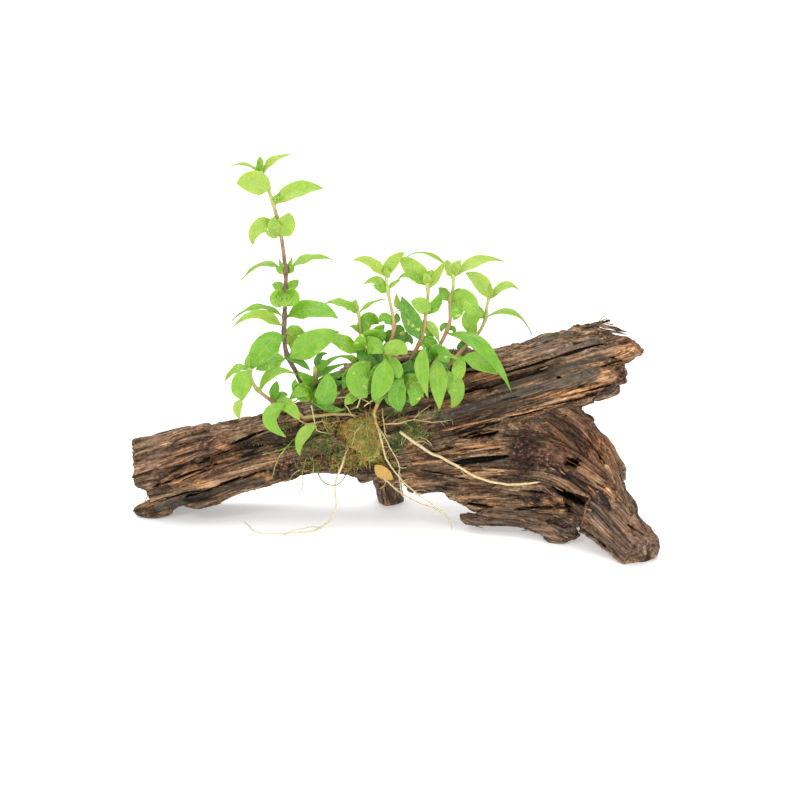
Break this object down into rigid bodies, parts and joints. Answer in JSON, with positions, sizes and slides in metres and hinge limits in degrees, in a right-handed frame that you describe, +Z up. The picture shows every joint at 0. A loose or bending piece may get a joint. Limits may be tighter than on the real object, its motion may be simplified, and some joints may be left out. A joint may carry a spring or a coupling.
{
  "type": "staurogyne on driftwood",
  "caption": "Leafy stem plant with opposite oval leaves and pale hanging roots, growing on a forked, weathered piece of driftwood that stands on its ends.",
  "frame": {"origin": "centre of the bounding box at the plane the three wooden feet stand on", "axes": "+X along the driftwood towards its forked end, +Y away from the side the roots hang on, +Z up"},
  "size_m": [0.2373, 0.1012, 0.174],
  "materials": {
    "driftwood": "wet, rough, deeply grooved along the grain",
    "leaf": null,
    "stem": null,
    "root": null,
    "moss": null
  },
  "bodies": {
    "root": {"driftwood_back_foot": "driftwood", "driftwood_left_limb": "driftwood", "driftwood_leg_prong": "driftwood", "driftwood_right_leg": "driftwood", "driftwood_right_limb": "driftwood", "driftwood_under_splinter": "driftwood", "leaf_brown_stem": "leaf", "leaf_d_left": "leaf", "leaf_d_right": "leaf", "leaf_e_dark": "leaf", "leaf_e_left": "leaf", "leaf_f_front": "leaf", "leaf_f_long": "leaf", "leaf_f_right": "leaf", "leaf_f_under": "leaf", "leaf_g_hanging": "leaf", "leaf_g_left": "leaf", "leaf_g_right": "leaf", "leaf_g_top": "leaf", "leaf_hang_1": "leaf", "leaf_hang_2": "leaf", "leaf_hang_3": "leaf", "leaf_hang_4": "leaf", "leaf_hang_5": "leaf", "leaf_hang_6": "leaf", "leaf_low_front": "leaf", "leaf_low_hanging": "leaf", "leaf_low_right": "leaf", "leaf_short_front": "leaf", "leaf_short_left": "leaf", "leaf_short_top": "leaf", "leaf_tall_1_left": "leaf", "leaf_tall_1_right": "leaf", "leaf_tall_2_left": "leaf", "leaf_tall_3_left": "leaf", "leaf_tall_3_right": "leaf", "leaf_tall_4_left": "leaf", "leaf_tall_4_right": "leaf", "leaf_tall_5_left": "leaf", "leaf_tall_6_back": "leaf", "leaf_tall_6_left": "leaf", "leaf_tall_7_left": "leaf", "leaf_tall_7_right": "leaf", "moss_clump": "moss", "rhizome": "root", "root_across": "root", "root_forked": "root", "root_long": "root", "root_main": "root", "root_trailing": "root", "stem_brown": "stem", "stem_d": "stem", "stem_e": "stem", "stem_f": "stem", "stem_g": "stem", "stem_lower_left": "stem", "stem_short": "stem", "stem_tall": "stem"}
  },
  "joints": []
}
